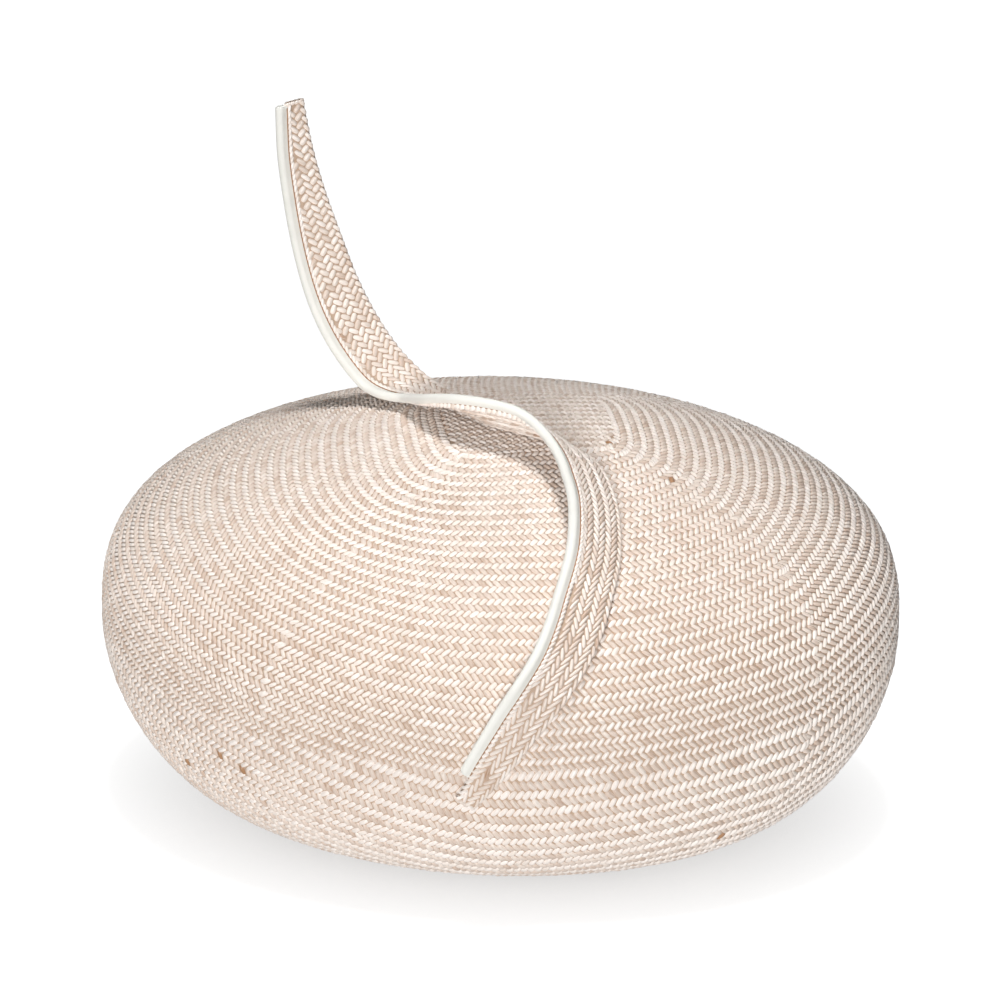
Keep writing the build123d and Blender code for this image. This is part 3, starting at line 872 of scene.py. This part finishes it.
def makePiping():
    # bias-cut cotton, off-white and matt: fine threads crossing at 45 degrees
    threadsApart = 0.35
    material, tree = newMaterial("pipingCotton")
    uv = addNode(tree, "ShaderNodeUVMap", {"uv_map": "weaveUV"})
    turned = addNode(tree, "ShaderNodeMapping", None,
                     {"Vector": uv.outputs["UV"], "Rotation": (0, 0, math.radians(45))})
    threads = addBands(tree, turned.outputs["Vector"], "X", threadsApart, 0.6)
    crossed = addBands(tree, turned.outputs["Vector"], "Y", threadsApart, 0.6)
    cloth = addMath(tree, "MAXIMUM", threads.outputs["Fac"], crossed.outputs["Fac"])
    soft = addGrain(tree, 160.0, 3.0)
    ramp = addRamp(tree, soft.outputs["Fac"], "#E4E3DC", "#EFEEE8")
    bump = addBump(tree, cloth.outputs["Value"], 0.25, 0.00008)
    addSurface(tree, {"Base Color": ramp.outputs["Color"], "Roughness": 0.85, "Sheen Weight": 0.15,
                      "Sheen Roughness": 0.5, "Normal": bump.outputs["Normal"]})
    return material


def makeThread(name, code):
    # mercerised sewing thread: a little gloss, twisted plies too fine to see one by one
    material, tree = newMaterial(name)
    ply = addGrain(tree, 2500.0, 2.0)
    shade = addNode(tree, "ShaderNodeMix", {"data_type": "RGBA", "blend_type": "MULTIPLY"},
                    {"Factor": 0.35, 6: toLinear(code), 7: ply.outputs["Color"]})
    bump = addBump(tree, ply.outputs["Fac"], 0.3, 0.0001)
    addSurface(tree, {"Base Color": shade.outputs[2], "Roughness": 0.55, "Normal": bump.outputs["Normal"]})
    return material


def makeSteel(name, code, roughness):
    # drawn steel wire: a fine wear of its surface breaks the highlight a little
    material, tree = newMaterial(name)
    wear = addGrain(tree, 1400.0, 3.0)
    rough = addNode(tree, "ShaderNodeMapRange", None,
                    {"Value": wear.outputs["Fac"], "To Min": roughness - 0.08, "To Max": roughness + 0.12})
    bump = addBump(tree, wear.outputs["Fac"], 0.12, 0.00005)
    addSurface(tree, {"Base Color": toLinear(code), "Metallic": 1.0, "Roughness": rough.outputs["Result"],
                      "Normal": bump.outputs["Normal"]})
    return material


def makeRibbed(name, code, pale, pitch):
    # viscose and cotton ribbon: silky warp over stout ribs, with fine threads between them
    threadsApart = 0.25
    material, tree = newMaterial(name)
    uv = addNode(tree, "ShaderNodeUVMap", {"uv_map": "weaveUV"})
    warp = addBands(tree, uv.outputs["UV"], "Y", threadsApart, 0.4)
    ribs = addBands(tree, uv.outputs["UV"], "X", pitch, 0.0)
    soft = addGrain(tree, 90.0, 3.0)
    shade = addMath(tree, "MULTIPLY_ADD", warp.outputs["Fac"], 0.35, 0.1)
    mixed = addMath(tree, "MULTIPLY_ADD", soft.outputs["Fac"], 0.6, shade.outputs["Value"])
    ramp = addRamp(tree, mixed.outputs["Value"], code, pale)
    height = addMath(tree, "ADD", warp.outputs["Fac"], ribs.outputs["Fac"])
    bump = addBump(tree, height.outputs["Value"], 0.3, 0.0001)
    addSurface(tree, {"Base Color": ramp.outputs["Color"], "Roughness": 0.6, "Sheen Weight": 0.2,
                      "Sheen Roughness": 0.4, "Normal": bump.outputs["Normal"]})
    return material


strawMaterial = makeStraw()
backingMaterial = makeBacking()
pipingMaterial = makePiping()
# painted shade: the brown line in the groove beside the piping uses the thread shader
grooveShadeMaterial = makeThread("grooveShade", "#A87850")
sewingMaterial = makeThread("sewingCotton", "#EDE3D6")
threadMaterial = makeThread("buttonholeTwist", "#E9DCCB")
cordMaterial = makeThread("cottonCord", "#F1EDE4")
wireMaterial = makeSteel("springSteel", "#A9A8A6", 0.38)
steelMaterial = makeSteel("platedSteel", "#C9C8C6", 0.24)
ribbonMaterial = makeRibbed("petersham", "#E4D6C6", "#F4ECE2", lining["rib"])
elasticMaterial = makeRibbed("elastic", "#DDD3C6", "#F0E9DF", 0.8)

shell = buildShell()
shell.data.materials.append(backingMaterial)
print("crown shell built")
buildWeave()
buildQuillBody()
buildQuillStrands()
buildPiping()
buildGrooveShadeLines()
print("quill built")
buildRibbon()
buildElasticLoops()
buildCombThreads()
buildCombWinding()
finishCadNodes()
print("ribbon, loops and comb built")


studio = {
    "lookFrom": (0.2001, -1.1706, 0.5788), "lookAt": (-0.0024, 0.0192, 0.0934), "lens": 143.3,
    "floor": "#909090", "floorSeen": 1.06, "floorGlow": 0.28, "contactShade": 0.5, "contactReach": 0.04,
    "air": "#FFFFFF", "airStrength": 0.05,
    "frontFrom": (0.02, -1.0, 0.15), "frontStrength": 2.75, "frontSpread": 18,
    "spotAt": (0.01, 0.03, 1.2), "spotTo": (0.005, -0.045, 0.08), "spotPower": 84.0, "spotCone": 17.5,
    "spotRadius": 0.17,
}


def aim(thing, target):
    way = Vector(target) - thing.location
    thing.rotation_euler = way.to_track_quat("-Z", "Y").to_euler()


def addLamp(kind, name, place, power, target):
    deselectAll()
    bpy.ops.object.light_add(type=kind, location=place)
    lamp = bpy.context.object
    lamp.name = name
    lamp.data.energy = power
    aim(lamp, target)
    return lamp.data


def buildStudio():
    # high-key product light: a bright table, a lamp in front, and a soft spot overhead that
    # fades to the sides
    deselectAll()
    bpy.ops.mesh.primitive_plane_add(size=12, location=(0, 0, -0.0004))
    floor = bpy.context.object
    floor.name = "floor"
    material, tree = newMaterial("palePaper")
    # the table looks brighter to the camera than it is to the hat, as it does when a studio burns it out
    ray = addNode(tree, "ShaderNodeLightPath")
    # and a painted contact shadow, a little darker where the hat stands close over it
    nearness = addNode(tree, "ShaderNodeAmbientOcclusion", {"samples": 8},
                       {"Distance": studio["contactReach"]})
    seen = addMath(tree, "MULTIPLY_ADD", nearness.outputs["AO"], studio["contactShade"],
                   studio["floorSeen"] - studio["contactShade"] - studio["floorGlow"])
    glow = addMath(tree, "MULTIPLY_ADD", ray.outputs["Is Camera Ray"], seen.outputs["Value"],
                   studio["floorGlow"])
    addSurface(tree, {"Base Color": toLinear(studio["floor"]), "Roughness": 0.9, "Specular IOR Level": 0.2,
                      "Emission Color": toLinear("#FFFFFF"), "Emission Strength": glow.outputs["Value"]})
    floor.data.materials.append(material)

    world = bpy.data.worlds.new("studioAir")
    bpy.context.scene.world = world
    world.use_nodes = True
    air = world.node_tree.nodes["Background"]
    air.inputs["Color"].default_value = toLinear(studio["air"])
    air.inputs["Strength"].default_value = studio["airStrength"]
    bpy.context.scene.view_settings.view_transform = "Standard"

    front = addLamp("SUN", "frontLamp", studio["frontFrom"], studio["frontStrength"], (0, 0, 0))
    front.angle = math.radians(studio["frontSpread"])
    spot = addLamp("SPOT", "overheadLamp", studio["spotAt"], studio["spotPower"], studio["spotTo"])
    spot.spot_size = math.radians(studio["spotCone"])
    spot.spot_blend = 1.0
    spot.shadow_soft_size = studio["spotRadius"]

    deselectAll()
    bpy.ops.object.camera_add(location=studio["lookFrom"])
    camera = bpy.context.object
    camera.name = "studioCamera"
    aim(camera, studio["lookAt"])
    camera.data.lens = studio["lens"]
    camera.data.sensor_width = 36
    camera.data.clip_end = 20
    bpy.context.scene.camera = camera


buildStudio()
print("studio set")
